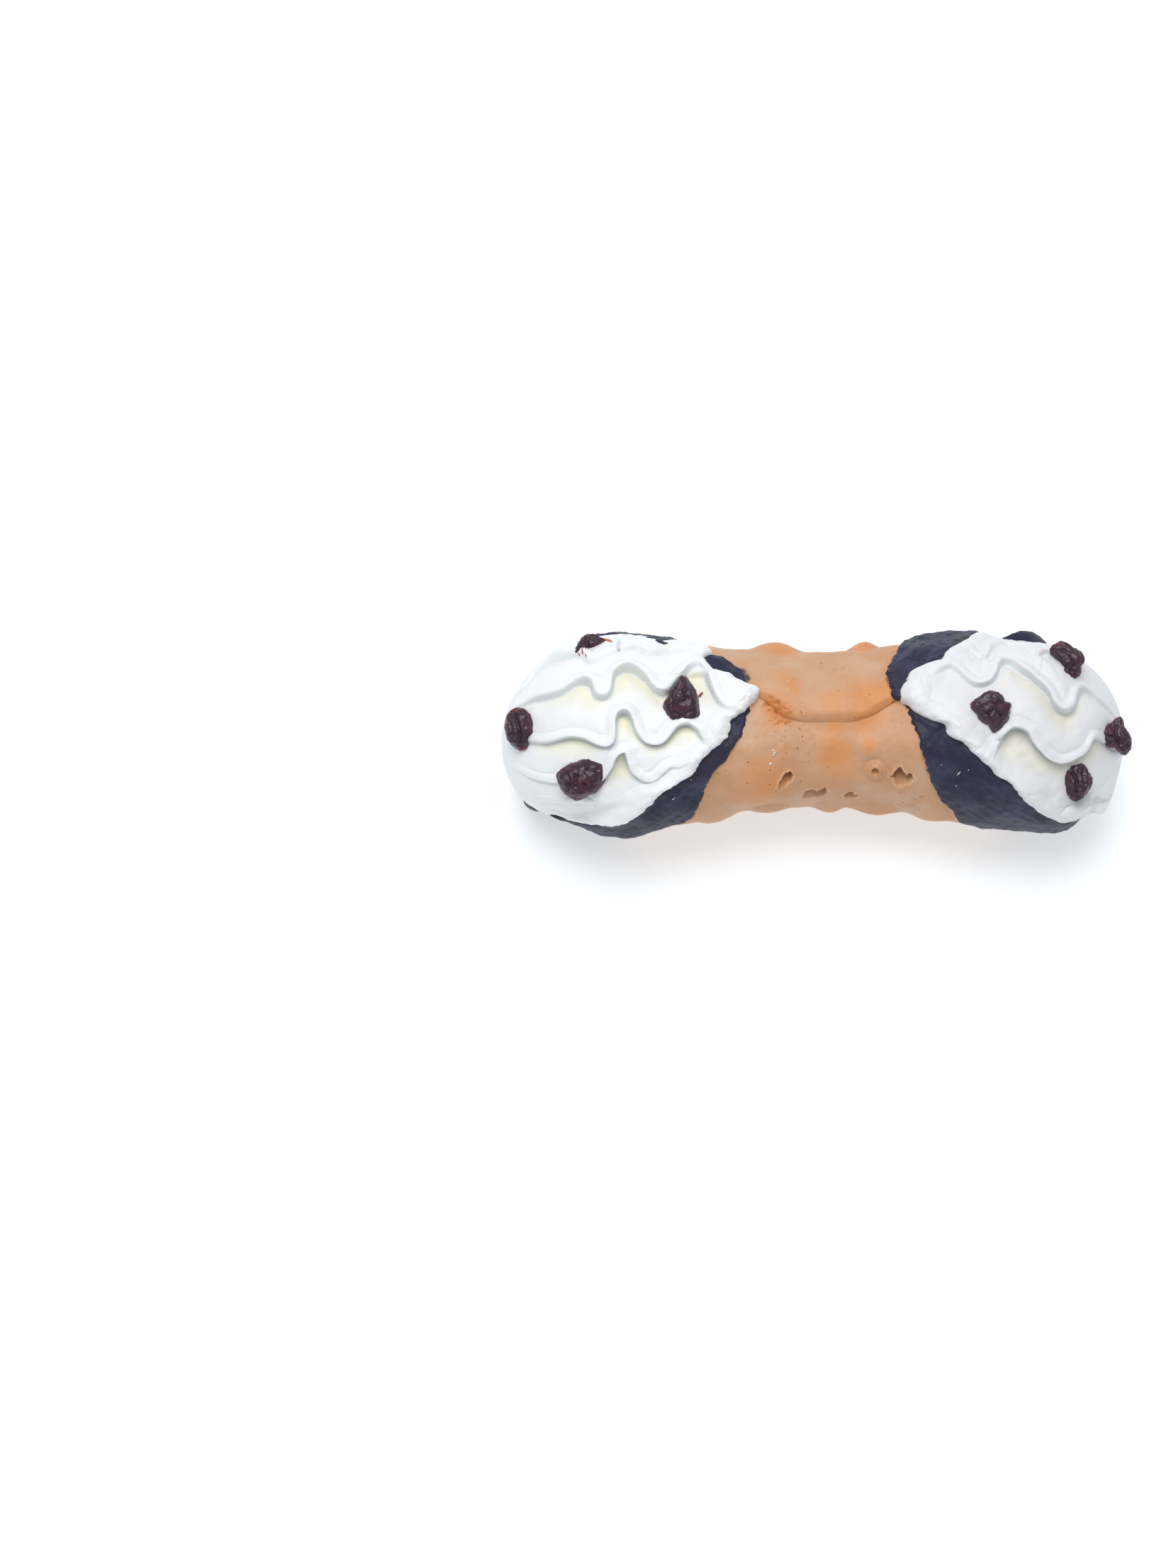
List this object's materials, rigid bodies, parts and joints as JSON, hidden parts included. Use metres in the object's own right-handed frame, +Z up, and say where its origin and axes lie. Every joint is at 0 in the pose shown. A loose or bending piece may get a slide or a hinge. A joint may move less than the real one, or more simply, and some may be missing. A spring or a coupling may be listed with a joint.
{
  "type": "cannolo",
  "caption": "Cannolo: a wrapped fried dough tube with chocolate-dipped mouths, filled with piped whipped cream and set with dark cherries.",
  "frame": {"origin": "on the table, at the middle of the cannolo's outline", "axes": "+X along the tube, -Y towards the side where the wrapped lip lies, +Z up"},
  "size_m": [0.1334, 0.0448, 0.0446],
  "materials": {
    "fried_dough": "dry, smooth fried dough, golden tan and deeper orange on its blisters, with fine dark freckles",
    "chocolate": "set dark chocolate, satin, with a fine grain and a ragged edge",
    "whipped_cream": "smooth, soft white whipped cream, faintly warm in its grooves",
    "cherry": "wet, wrinkled dark red cherry"
  },
  "bodies": {
    "root": {"shell": "fried_dough", "chocolate_left": "chocolate", "chocolate_right": "chocolate", "cream": "whipped_cream", "cherry_1": "cherry", "cherry_2": "cherry", "cherry_3": "cherry", "cherry_4": "cherry", "cherry_5": "cherry", "cherry_6": "cherry", "cherry_7": "cherry", "cherry_8": "cherry"}
  },
  "joints": []
}
